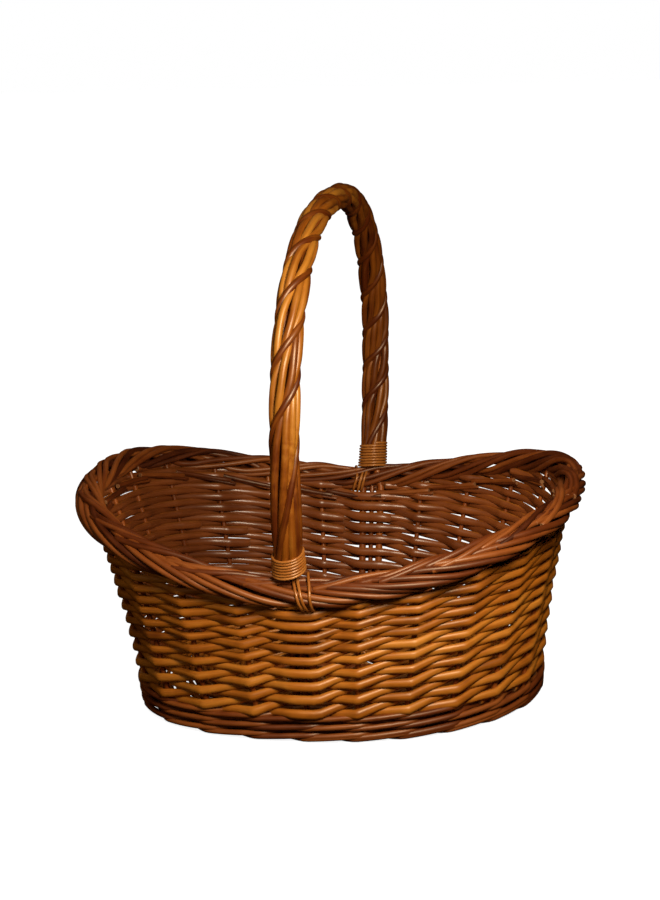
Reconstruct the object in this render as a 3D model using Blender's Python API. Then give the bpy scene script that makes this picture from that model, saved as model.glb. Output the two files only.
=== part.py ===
"""Oval willow market basket with a fixed roped hoop handle. Metres, +Z up, origin at the centre of the foot."""

import math

import bpy
import numpy as np
from mathutils import Vector

# Top outline of the wall: half length along X, half width along Y, superellipse exponent.
RIM_A = 0.217
RIM_B = 0.177
RIM_POWER = 2.43
# The foot is squarer and shorter at its left end (-X) than at its right end.
FOOT_LEFT_A = 0.174
FOOT_RIGHT_A = 0.188
FOOT_B = 0.144
FOOT_LEFT_POWER = 2.7
FOOT_RIGHT_POWER = 2.0
# How much the two ends of the wall hollow in before they flare to the rim.
FLARE = 0.45
# Height of the border's centre line at the long sides and at the two ends, and how it sweeps up.
RIM_LOW = 0.147
RIM_HIGH = 0.195
RIM_SWEEP = 1.574
# Side stakes.
STAKES = 24
STAKE_R = 0.0025
STAKE_NEAR_X = -0.003
STAKE_OVAL_A = 0.2045
STAKE_OVAL_B = 0.1675
STAKE_OVAL_POWER = 2.2
FOOT_SKEW_NEAR = -0.008
FOOT_SKEW_FAR = 0.014
# Base layers.
MAT_LOW = 0.004
MAT_HIGH = 0.0034
STICK_H = 0.009
STICK_W = 0.009
LONG_STICK_H = 0.0042
CROSS_STICKS = 5
CROSS_STEP = 0.032
LONG_STICKS = 3
LONG_STEP = 0.012
# Wale at the foot and woven rounds above it.
WALE_ROUNDS = 3
WALE_H = 0.0078
SIDING_ROUNDS = 9
WEAVE_T = 0.004
WEAVE_OFF = 0.0052
# Border, its centre line just outside the wall.
BORDER_OUT = 0.003
BORDER_W = 0.014
BORDER_H = 0.0125
# Handle.
ARCH_W = 0.196
ARCH_Z = 0.2655
ARCH_TOP = 0.457
ARCH_POWER_NEAR = 2.55
ARCH_POWER_FAR = 2.15
ARCH_LEAN = 0.008
BOW_R = 0.0036
BOW_HALF = 0.0047
BOW_HALF_LOW = 0.0087
BOW_START = 0.040
ROPE_IN = 0.0096
ROPE_OUT = 0.0127
ROPE_STRANDS = 3
ROPE_PITCH = 0.140
BINDING_LOW = 0.0085
BINDING_H = 0.019
BINDING_T = 0.0017
LASH_OFF = 0.0205
LASH_W = 0.005
LASH_T = 0.0018
GAP = 0.0003

WILLOW = (0.52, 0.27, 0.075)
RED_WILLOW = (0.33, 0.13, 0.055)
CANE = (0.50, 0.24, 0.09)


def clear_scene():
    for obj in list(bpy.data.objects):
        bpy.data.objects.remove(obj, do_unlink=True)


def material(name, colour, roughness):
    made = bpy.data.materials.new(name)
    made.use_nodes = True
    shader = made.node_tree.nodes["Principled BSDF"]
    shader.inputs["Base Color"].default_value = (*colour, 1.0)
    shader.inputs["Roughness"].default_value = roughness
    shader.inputs["Metallic"].default_value = 0.0
    return made


def add_mesh(name, points, faces, colour, roughness=0.35, smooth=False):
    mesh = bpy.data.meshes.new(name)
    mesh.from_pydata([tuple(map(float, p)) for p in points], [], faces)
    mesh.update()
    if smooth:
        mesh.shade_smooth()
    obj = bpy.data.objects.new(name, mesh)
    obj.data.materials.append(material(name, colour, roughness))
    bpy.context.scene.collection.objects.link(obj)
    return obj


def merged(parts):
    points = []
    faces = []
    for part_points, part_faces in parts:
        start = len(points)
        points.extend(part_points)
        faces.extend([tuple(i + start for i in face) for face in part_faces])
    return points, faces


def facing_out(points, faces):
    """The faces, turned round if they point into the solid."""
    volume = 0.0
    for face in faces:
        for j, k in zip(face[1:-1], face[2:]):
            volume += Vector(points[face[0]]).dot(Vector(points[j]).cross(Vector(points[k])))
    return faces if volume > 0.0 else [tuple(reversed(face)) for face in faces]


def skin(sections, closed):
    """Joins equal cross-sections into one closed surface."""
    count = len(sections[0])
    points = [p for section in sections for p in section]
    faces = []
    total = len(sections)
    for i in range(total if closed else total - 1):
        a = i * count
        b = ((i + 1) % total) * count
        for j in range(count):
            k = (j + 1) % count
            faces.append((a + j, a + k, b + k, b + j))
    if not closed:
        faces.append(tuple(reversed(range(count))))
        faces.append(tuple(range((total - 1) * count, total * count)))
    return points, facing_out(points, faces)


# ---- outline of the wall ----


def superellipse(phi, a, b, power):
    c = abs(math.cos(phi)) / a
    s = abs(math.sin(phi)) / b
    return (c**power + s**power) ** (-1.0 / power)


def rim_radius(phi):
    return superellipse(phi, RIM_A, RIM_B, RIM_POWER)


def foot_radius(phi):
    if math.cos(phi) < 0.0:
        return superellipse(phi, FOOT_LEFT_A, FOOT_B, FOOT_LEFT_POWER)
    return superellipse(phi, FOOT_RIGHT_A, FOOT_B, FOOT_RIGHT_POWER)


def end_share(phi):
    """0 at the middle of the long sides, 1 at the ends of the basket."""
    return min(1.0, rim_radius(phi) * abs(math.cos(phi)) / RIM_A) ** RIM_SWEEP


def rim_height(phi):
    return RIM_LOW + (RIM_HIGH - RIM_LOW) * end_share(phi)


def wall(phi, z, off=0.0):
    """Point on the wall's middle surface at polar angle phi and height z, moved off outwards."""

    def radial(angle):
        foot = foot_radius(angle)
        rise = z / rim_height(angle)
        rise -= FLARE * end_share(angle) * rise * (1.0 - rise)
        radius = foot + (rim_radius(angle) - foot) * rise
        return Vector((radius * math.cos(angle), radius * math.sin(angle), z))

    point = radial(phi)
    along = radial(phi + 1e-4) - radial(phi - 1e-4)
    outward = Vector((along.y, -along.x, 0.0)).normalized()
    return point + outward * off


def tangent(phi, z):
    along = wall(phi + 1e-4, z) - wall(phi - 1e-4, z)
    return Vector((along.x, along.y, 0.0)).normalized()


def spaced(phi_from, phi_to, count):
    """Polar angles that part a stretch of the stake oval into equal lengths, the last one left out."""
    fine = np.linspace(phi_from, phi_to, 2001)
    radii = [superellipse(phi, STAKE_OVAL_A, STAKE_OVAL_B, STAKE_OVAL_POWER) for phi in fine]
    oval = [Vector((r * math.cos(phi), r * math.sin(phi))) for r, phi in zip(radii, fine)]
    run = [0.0]
    for a, b in zip(oval[:-1], oval[1:]):
        run.append(run[-1] + (b - a).length)
    return [float(np.interp(run[-1] * i / count, run, fine)) for i in range(count)]


PHI_NEAR = math.atan2(-RIM_B, STAKE_NEAR_X) + 2.0 * math.pi
PHI_FAR = math.atan2(RIM_B, FOOT_SKEW_FAR) + 2.0 * math.pi
STAKE_PHI = spaced(PHI_NEAR, PHI_FAR, STAKES // 2)
STAKE_PHI += spaced(PHI_FAR, PHI_NEAR + 2.0 * math.pi, STAKES // 2)
HANDLE_STAKES = (0, STAKES // 2)
STICK_Z = MAT_LOW + GAP
WALE_Z = MAT_LOW + GAP
SIDING_Z = WALE_Z + WALE_ROUNDS * (WALE_H + GAP)


def moved(phi, distance, z=0.09):
    """Polar angle a given distance along the wall from phi."""
    step = (wall(phi + 1e-3, z) - wall(phi - 1e-3, z)).length / 2e-3
    return phi + distance / step


# ---- base ----


def oval_plate(inset, low, high, bevel, segments=48):
    """Flat oval mat with a softened upper and outer edge."""
    rings = []
    for shrink, z in ((bevel, low), (0.0, low + bevel), (0.0, high - bevel), (bevel, high)):
        ring = []
        for i in range(segments):
            phi = 2.0 * math.pi * i / segments
            radius = foot_radius(phi) - inset - shrink
            ring.append((radius * math.cos(phi), radius * math.sin(phi), z))
        rings.append(ring)
    return skin(rings, closed=False)


def box(low, high):
    corners = [(x, y, z) for z in (low[2], high[2]) for y in (low[1], high[1]) for x in (low[0], high[0])]
    faces = [(0, 2, 3, 1), (4, 5, 7, 6), (0, 1, 5, 4), (2, 6, 7, 3), (0, 4, 6, 2), (1, 3, 7, 5)]
    return corners, faces


def slit_stick(x, half_length, slot_half, slot_low, slot_high):
    """Round-edged stick along Y, slit through its middle so that the long sticks pass."""
    low = STICK_Z
    high = STICK_Z + STICK_H
    edge = 0.0022
    half = STICK_W / 2.0
    outline = [
        (-half, low + edge),
        (-half + edge, low),
        (half - edge, low),
        (half, low + edge),
        (half, high - edge),
        (half - edge, high),
        (-half + edge, high),
        (-half, high - edge),
    ]
    sections = [[(x + u, y, z) for u, z in outline] for y in (-half_length, half_length)]
    points, faces = skin(sections, closed=False)
    cut_points, cut_faces = box(
        (x - STICK_W, -slot_half, slot_low),
        (x + STICK_W, slot_half, slot_high),
    )
    return points, faces, cut_points, cut_faces


def helper(name, points, faces):
    mesh = bpy.data.meshes.new(name)
    mesh.from_pydata([tuple(map(float, p)) for p in points], [], faces)
    obj = bpy.data.objects.new(name, mesh)
    bpy.context.scene.collection.objects.link(obj)
    obj.hide_render = True
    obj.display_type = "WIRE"
    return obj


def cut_with(obj, cutter):
    cut = obj.modifiers.new("cut", "BOOLEAN")
    cut.operation = "DIFFERENCE"
    cut.solver = "EXACT"
    cut.object = cutter


def make_base():
    top = STICK_Z + STICK_H
    low_points, low_faces = oval_plate(0.001, 0.0, MAT_LOW, 0.0012)
    add_mesh("base_weave_lower", low_points, low_faces, WILLOW)
    high_points, high_faces = oval_plate(0.011, top + GAP, top + GAP + MAT_HIGH, 0.001)
    add_mesh("base_weave_upper", high_points, high_faces, WILLOW)
    middle = STICK_Z + STICK_H / 2.0
    slot_half = LONG_STEP * (LONG_STICKS - 1) / 2.0 + 0.007
    slot_low = middle - LONG_STICK_H / 2.0 - GAP
    slot_high = middle + LONG_STICK_H / 2.0 + GAP
    inset = 0.019
    middle_x = (FOOT_RIGHT_A - FOOT_LEFT_A) / 2.0
    foot_a = (FOOT_RIGHT_A + FOOT_LEFT_A) / 2.0 - inset
    for i in range(CROSS_STICKS):
        x = (i - (CROSS_STICKS - 1) / 2.0) * CROSS_STEP
        half = (FOOT_B - inset) * math.sqrt(1.0 - (x / foot_a) ** 2)
        points, faces, cut_points, cut_faces = slit_stick(middle_x + x, half, slot_half, slot_low, slot_high)
        stick = add_mesh(f"base_cross_stick_{i + 1}", points, faces, RED_WILLOW)
        cut_with(stick, helper(f"slit_{i + 1}", cut_points, cut_faces))
    for i in range(LONG_STICKS):
        y = (i - (LONG_STICKS - 1) / 2.0) * LONG_STEP
        half = foot_a * math.sqrt(1.0 - (y / (FOOT_B - inset)) ** 2)
        points, faces = box(
            (middle_x - half, y - 0.0046, middle - LONG_STICK_H / 2.0),
            (middle_x + half, y + 0.0046, middle + LONG_STICK_H / 2.0),
        )
        add_mesh(f"base_long_stick_{i + 1}", points, faces, RED_WILLOW)


# ---- rods ----


def tube(path, radius, sides, closed=False):
    """Round rod along a path of points."""
    sections = []
    count = len(path)
    side = None
    for i, point in enumerate(path):
        before = path[max(i - 1, 0)]
        after = path[min(i + 1, count - 1)]
        ahead = (after - before).normalized()
        if side is None:
            side = ahead.orthogonal().normalized()
        side = (side - ahead * side.dot(ahead)).normalized()
        other = ahead.cross(side)
        ring = []
        for j in range(sides):
            turn = 2.0 * math.pi * j / sides
            ring.append(point + (side * math.cos(turn) + other * math.sin(turn)) * radius)
        sections.append(ring)
    return skin(sections, closed=closed)


def make_stakes():
    layer = STICK_Z + STICK_H / 2.0
    for i, phi in enumerate(STAKE_PHI):
        top = rim_height(phi) - BORDER_H - GAP
        path = [
            wall(phi, layer, -0.014),
            wall(phi, layer, -0.0045),
            wall(phi, layer + 0.0026, -0.0002),
            wall(phi, layer + 0.012),
        ]
        path += [wall(phi, z) for z in np.linspace(layer + 0.012, top, 7)[1:]]
        points, faces = tube(path, STAKE_R, 6)
        add_mesh(f"side_stake_{i + 1:02d}", points, faces, RED_WILLOW, smooth=True)


def weave_plan(outside):
    """(polar angle, offset) all the way round; outside says whether the round passes outside stake j."""
    plan = []
    for j, phi in enumerate(STAKE_PHI):
        sign = 1.0 if outside(j) else -1.0
        if j in HANDLE_STAKES:
            for distance in (-0.0128, 0.0128):
                plan.append((moved(phi, distance), sign * (WEAVE_OFF + 0.0016)))
        else:
            plan.append((phi, sign * WEAVE_OFF))
        after = STAKE_PHI[(j + 1) % STAKES]
        if after < phi:
            after += 2.0 * math.pi
        following = 1.0 if outside((j + 1) % STAKES) else -1.0
        plan.append(((phi + after) / 2.0, WEAVE_OFF * (sign + following) / 2.0))
    return plan


def ribbon(plan, low, high):
    """Closed woven band between the heights low(phi) and high(phi)."""
    sections = []
    for phi, off in plan:
        z0 = low(phi)
        z1 = high(phi)
        sections.append(
            [
                wall(phi, z0, off - WEAVE_T / 2.0),
                wall(phi, z1, off - WEAVE_T / 2.0),
                wall(phi, z1, off + WEAVE_T / 2.0),
                wall(phi, z0, off + WEAVE_T / 2.0),
            ]
        )
    return skin(sections, closed=True)


def make_weave():
    for i in range(WALE_ROUNDS):
        low = WALE_Z + i * (WALE_H + GAP)
        if i == 0:
            plan = weave_plan(lambda j: True)
        else:
            plan = weave_plan(lambda j, i=i: (j + i) % 3 != 0)
        points, faces = ribbon(plan, lambda phi, z=low: z, lambda phi, z=low: z + WALE_H)
        add_mesh(f"upsett_wale_{i + 1}", points, faces, RED_WILLOW)

    def level(phi, fraction):
        top = rim_height(phi) - BORDER_H - LASH_T - 3.0 * GAP
        return SIDING_Z + (top - SIDING_Z) * fraction

    for i in range(SIDING_ROUNDS):
        plan = weave_plan(lambda j, i=i: (j + i) % 2 == 0)
        points, faces = ribbon(
            plan,
            lambda phi, i=i: level(phi, i / SIDING_ROUNDS) + GAP / 2.0,
            lambda phi, i=i: level(phi, (i + 1) / SIDING_ROUNDS) - GAP / 2.0,
        )
        add_mesh(f"siding_round_{i + 1}", points, faces, WILLOW)


# ---- border ----


def border_section(phi, grow=0.0, sides=10):
    centre = wall(phi, rim_height(phi), BORDER_OUT)
    along = tangent(phi, rim_height(phi))
    outward = Vector((along.y, -along.x, 0.0))
    ring = []
    for j in range(sides):
        turn = 2.0 * math.pi * (j + 0.5) / sides
        across = outward * math.cos(turn) * (BORDER_W + grow)
        up = Vector((0.0, 0.0, math.sin(turn) * (BORDER_H + grow)))
        ring.append(centre + across + up)
    return ring


def make_border():
    sections = []
    for j, phi in enumerate(STAKE_PHI):
        after = STAKE_PHI[(j + 1) % STAKES]
        if after < phi:
            after += 2.0 * math.pi
        sections.append(border_section(phi))
        sections.append(border_section((2.0 * phi + after) / 3.0))
        sections.append(border_section((phi + 2.0 * after) / 3.0))
    points, faces = skin(sections, closed=True)
    border = add_mesh("border_plait", points, faces, RED_WILLOW, smooth=True)
    holes = []
    for side in (-1.0, 1.0):
        for rod in (-1.0, 1.0):
            path = [p for p in bow_path(rod) if p.y * side > 0.0 and 0.11 < p.z < 0.19]
            if side < 0.0:
                path = list(reversed(path))
            holes.append(tube(path, BOW_R + 2.0 * GAP, 10))
    hole_points, hole_faces = merged(holes)
    cut_with(border, helper("bow_holes", hole_points, hole_faces))


# ---- handle ----


def arch_point(turn):
    """Point on the handle's centre line. turn runs from -1 at the near border to +1 at the far one."""
    foot = HANDLE_FOOT_Z
    straight = 0.13
    side = -1.0 if turn < 0.0 else 1.0
    rest = 1.0 - abs(turn)
    if rest < straight:
        z = foot + (ARCH_Z - foot) * rest / straight
        down = (ARCH_Z - z) / (ARCH_Z - foot)
        y = ARCH_W - (ARCH_W - HANDLE_FOOT_Y) * down**2
    else:
        angle = math.pi / 2.0 * (rest - straight) / (1.0 - straight)
        power = 2.0 / (ARCH_POWER_NEAR if side < 0.0 else ARCH_POWER_FAR)
        y = ARCH_W * max(math.cos(angle), 0.0) ** power
        z = ARCH_Z + (ARCH_TOP - ARCH_Z) * math.sin(angle) ** power
    lift = (z - foot) / (ARCH_TOP - foot)
    skew = FOOT_SKEW_NEAR if side < 0.0 else FOOT_SKEW_FAR
    centre = (FOOT_SKEW_NEAR + FOOT_SKEW_FAR) / 2.0
    x = centre + (skew - centre) * y / HANDLE_FOOT_Y + ARCH_LEAN * lift
    return Vector((x, side * y, z))


HANDLE_FOOT_Y = RIM_B + BORDER_OUT
HANDLE_FOOT_Z = RIM_LOW + 0.013


def even_arch(count):
    """Points at equal steps along the handle's centre line."""
    fine = [arch_point(t) for t in np.linspace(-1.0, 1.0, 801)]
    run = [0.0]
    for a, b in zip(fine[:-1], fine[1:]):
        run.append(run[-1] + (b - a).length)
    table = np.array([tuple(p) for p in fine])
    at = np.linspace(0.0, run[-1], count)
    columns = [np.interp(at, run, table[:, k]) for k in range(3)]
    return [Vector(p) for p in zip(*columns)], run[-1]


def frames(path):
    """(point, ahead, out of plane, radial) along the arch."""
    found = []
    for i, point in enumerate(path):
        before = path[max(i - 1, 0)]
        after = path[min(i + 1, len(path) - 1)]
        ahead = (after - before).normalized()
        sideways = Vector((1.0, 0.0, 0.0))
        sideways = (sideways - ahead * sideways.dot(ahead)).normalized()
        found.append((point, ahead, sideways, ahead.cross(sideways)))
    return found


def bow_path(rod):
    """Path of one bow rod: up beside the near middle stake, over the arch and down beside the far one."""
    path = []
    levels = np.linspace(BOW_START, rim_height(PHI_NEAR) - 0.006, 5)
    for z in levels:
        path.append(wall(moved(PHI_NEAR, rod * BOW_HALF_LOW), z))
    for point, ahead, sideways, radial in frames(even_arch(46)[0]):
        path.append(point + sideways * rod * BOW_HALF)
    for z in reversed(levels):
        path.append(wall(moved(PHI_FAR, -rod * BOW_HALF_LOW), z))
    return path


def rope_strand(index):
    """One flat helical bundle of roping round the bow, as an arc of a ring carried along the arch."""
    length = even_arch(3)[1]
    steps = round(length / ROPE_PITCH * 12)
    arch = even_arch(steps + 1)[0]
    half = math.radians(180.0 / ROPE_STRANDS - 2.5)
    arc = [half * f for f in (1.0, 0.5, 0.0, -0.5, -1.0)]
    outline = [(ROPE_IN, angle) for angle in arc] + [(ROPE_OUT, -angle) for angle in arc]
    sections = []
    for i, (point, ahead, sideways, radial) in enumerate(frames(arch)):
        turn = 2.0 * math.pi * (i / 12.0 + index / ROPE_STRANDS)
        ring = []
        for radius, angle in outline:
            across = sideways * math.cos(turn + angle) + radial * math.sin(turn + angle)
            ring.append(point + across * radius)
        sections.append(ring)
    return skin(sections[1:-1], closed=False)


def foot_frame(side):
    foot = arch_point(side)
    ahead = (arch_point(side * 0.97) - foot).normalized()
    sideways = Vector((1.0, 0.0, 0.0))
    sideways = (sideways - ahead * sideways.dot(ahead)).normalized()
    return foot, ahead, sideways, ahead.cross(sideways)


def make_binding(name, side, sides=20):
    foot, ahead, sideways, radial = foot_frame(side)
    inner = ROPE_OUT + GAP * 2.0
    profile = [
        (inner, BINDING_LOW),
        (inner + BINDING_T + 0.001, BINDING_LOW),
        (inner + BINDING_T, BINDING_LOW + BINDING_H),
        (inner, BINDING_LOW + BINDING_H),
    ]
    sections = []
    for j in range(sides):
        turn = 2.0 * math.pi * j / sides
        across = sideways * math.cos(turn) + radial * math.sin(turn)
        sections.append([foot + across * r + ahead * h for r, h in profile])
    points, faces = skin(sections, closed=True)
    add_mesh(name, points, faces, CANE, smooth=False)


def make_lashing(name, phi, distance, sides=12):
    """One cane loop round the border, a given distance along it from the handle's foot."""
    edges = [moved(phi, distance + d) for d in (-LASH_W / 2.0, LASH_W / 2.0)]
    inner = [border_section(edge, grow=GAP * 2.0, sides=sides) for edge in edges]
    outer = [border_section(edge, grow=GAP * 2.0 + LASH_T, sides=sides) for edge in edges]
    sections = [[inner[0][j], inner[1][j], outer[1][j], outer[0][j]] for j in range(sides)]
    points, faces = skin(sections, closed=True)
    add_mesh(name, points, faces, CANE)


def make_handle():
    for name, rod in (("handle_bow_left", -1.0), ("handle_bow_right", 1.0)):
        points, faces = tube(bow_path(rod), BOW_R, 6)
        add_mesh(name, points, faces, WILLOW, smooth=True)
    for i in range(ROPE_STRANDS):
        points, faces = rope_strand(i)
        add_mesh(f"handle_roping_{i + 1}", points, faces, WILLOW, smooth=True)
    make_binding("handle_binding_front", -1.0)
    make_binding("handle_binding_rear", 1.0)
    lean = (FOOT_SKEW_NEAR - STAKE_NEAR_X) / 2.0
    for end, phi, shift in (("front", PHI_NEAR, lean), ("rear", PHI_FAR, 0.0)):
        make_lashing(f"handle_lashing_{end}_1", phi, shift - LASH_OFF)
        make_lashing(f"handle_lashing_{end}_2", phi, shift + LASH_OFF)


clear_scene()
make_base()
make_stakes()
make_weave()
make_border()
make_handle()
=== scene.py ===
"""Oval willow market basket: woven rods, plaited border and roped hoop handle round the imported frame."""

import math

import bpy
import numpy as np
from mathutils import Matrix, Vector


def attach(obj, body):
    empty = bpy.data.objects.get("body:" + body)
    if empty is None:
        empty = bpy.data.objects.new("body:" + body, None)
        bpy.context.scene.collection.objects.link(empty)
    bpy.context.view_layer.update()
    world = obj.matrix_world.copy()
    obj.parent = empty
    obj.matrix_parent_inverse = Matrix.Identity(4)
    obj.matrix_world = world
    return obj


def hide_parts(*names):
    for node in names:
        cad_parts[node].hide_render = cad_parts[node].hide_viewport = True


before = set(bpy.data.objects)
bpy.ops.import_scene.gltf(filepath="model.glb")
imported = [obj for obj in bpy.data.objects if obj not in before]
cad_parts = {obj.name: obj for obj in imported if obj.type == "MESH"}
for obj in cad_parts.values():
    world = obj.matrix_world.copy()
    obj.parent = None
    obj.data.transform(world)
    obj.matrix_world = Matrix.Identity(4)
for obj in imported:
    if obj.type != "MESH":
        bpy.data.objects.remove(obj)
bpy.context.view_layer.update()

SEED = 7
MM = 0.001

# Wall, as in the CAD: half length, half width and superellipse power of its outlines.
RIM_A, RIM_B, RIM_POWER = 0.217, 0.177, 2.43
FOOT_LEFT_A, FOOT_RIGHT_A, FOOT_B = 0.174, 0.188, 0.144
FOOT_LEFT_POWER, FOOT_RIGHT_POWER = 2.7, 2.0
FLARE = 0.45
RIM_LOW, RIM_HIGH, RIM_SWEEP = 0.147, 0.195, 1.574
BORDER_OUT = 0.003

# The side stakes stand at equal steps along an oval, with one at the middle of each long side.
STAKES = 24
STAKE_NEAR_X = -0.003
STAKE_OVAL_A, STAKE_OVAL_B, STAKE_OVAL_POWER = 0.2045, 0.1675, 2.2

# Arch of the handle, as in the CAD: widest at ARCH_Z, then a superellipse up to its top.
HANDLE_FOOT_Y = RIM_B + BORDER_OUT
HANDLE_FOOT_Z = RIM_LOW + 0.013
FOOT_SKEW_NEAR, FOOT_SKEW_FAR = -0.008, 0.014
ARCH_W, ARCH_Z, ARCH_TOP = 0.196, 0.2655, 0.457
ARCH_POWER_NEAR, ARCH_POWER_FAR, ARCH_LEAN = 2.55, 2.15, 0.008
ARCH_FOOT_SHARE = 0.13


# ---- small vector helpers ----


def unit(v):
    return v / np.maximum(np.linalg.norm(v, axis=-1, keepdims=True), 1e-12)


def smooth_step(x):
    x = np.clip(x, 0.0, 1.0)
    return x * x * (3.0 - 2.0 * x)


def along_path(path):
    """Distance run from the start at each point."""
    return np.r_[0.0, np.cumsum(np.linalg.norm(np.diff(path, axis=0), axis=1))]


def eased(at, keys, values):
    """Smooth curve through key values (Catmull-Rom), one column per quantity."""
    keys = np.asarray(keys, float)
    values = np.asarray(values, float)
    slopes = np.gradient(values, keys, axis=0)
    i = np.clip(np.searchsorted(keys, at, side="right") - 1, 0, len(keys) - 2)
    span = (keys[i + 1] - keys[i])[:, None]
    f = ((at - keys[i]) / span[:, 0])[:, None]
    start, end = values[i], values[i + 1]
    rise, fall = slopes[i] * span, slopes[i + 1] * span
    return (
        (2 * f**3 - 3 * f**2 + 1) * start
        + (f**3 - 2 * f**2 + f) * rise
        + (3 * f**2 - 2 * f**3) * end
        + (f**3 - f**2) * fall
    )


# ---- the wall ----


def outline(phi, a, b, power):
    """Radius of a superellipse at polar angle phi."""
    return ((np.abs(np.cos(phi)) / a) ** power + (np.abs(np.sin(phi)) / b) ** power) ** (-1.0 / power)


def foot_radius(phi):
    left = outline(phi, FOOT_LEFT_A, FOOT_B, FOOT_LEFT_POWER)
    right = outline(phi, FOOT_RIGHT_A, FOOT_B, FOOT_RIGHT_POWER)
    return np.where(np.cos(phi) < 0.0, left, right)


def end_share(phi):
    """0 at the middle of the long sides, 1 at the ends of the basket."""
    x = outline(phi, RIM_A, RIM_B, RIM_POWER) * np.abs(np.cos(phi))
    return np.minimum(1.0, x / RIM_A) ** RIM_SWEEP


def far_share(phi):
    """0 at the middle of the near side, 1 at the middle of the far side."""
    return (1.0 + np.sin(phi)) / 2.0


def rim_height(phi):
    return RIM_LOW + (RIM_HIGH - RIM_LOW) * end_share(phi)


def wall_skin(phi, z):
    foot = foot_radius(phi)
    rise = z / rim_height(phi)
    rise = rise - FLARE * end_share(phi) * rise * (1.0 - rise)
    radius = foot + (outline(phi, RIM_A, RIM_B, RIM_POWER) - foot) * rise
    return np.stack([radius * np.cos(phi), radius * np.sin(phi), z + 0.0 * phi], -1)


def outward(phi, z):
    step = wall_skin(phi + 1e-4, z) - wall_skin(phi - 1e-4, z)
    return unit(np.stack([step[..., 1], -step[..., 0], 0.0 * step[..., 0]], -1))


def wall(phi, z, off=0.0):
    """Points on the wall's middle surface at polar angle phi and height z, moved off outwards."""
    phi, z, off = np.broadcast_arrays(np.asarray(phi, float), z, off)
    return wall_skin(phi, z) + outward(phi, z) * off[..., None]


def spaced(phi_from, phi_to, count):
    """Polar angles at equal steps along the oval of the stakes, without the last one."""
    fine = np.linspace(phi_from, phi_to, 2001)
    radius = outline(fine, STAKE_OVAL_A, STAKE_OVAL_B, STAKE_OVAL_POWER)
    run = along_path(np.stack([radius * np.cos(fine), radius * np.sin(fine)], -1))
    return list(np.interp(run[-1] * np.arange(count) / count, run, fine))


PHI_NEAR = math.atan2(-RIM_B, STAKE_NEAR_X) + 2.0 * math.pi
PHI_FAR = math.atan2(RIM_B, FOOT_SKEW_FAR) + 2.0 * math.pi
STAKE_PHI = spaced(PHI_NEAR, PHI_FAR, STAKES // 2)
STAKE_PHI += spaced(PHI_FAR, PHI_NEAR + 2.0 * math.pi, STAKES // 2)
TURNS = 4
TRACK = np.concatenate([np.array(STAKE_PHI) + 2.0 * math.pi * n for n in range(-TURNS, TURNS + 1)])
TRACK_U = np.arange(len(TRACK)) - TURNS * STAKES


def polar(u):
    """Polar angle at u stakes, counted counter-clockwise from the near handle stake."""
    return np.interp(u, TRACK_U, TRACK)


def moved(phi, distance):
    """Polar angle at a distance along the wall from phi, at half its height."""
    step = np.linalg.norm(wall(phi + 1e-3, 0.09) - wall(phi - 1e-3, 0.09)) / 2e-3
    return phi + distance / step


# ---- rods ----

# The rounded end of a rod, as shares of its radius.
END_LENGTH, END_WIDTH = 0.25, 0.82


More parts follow.
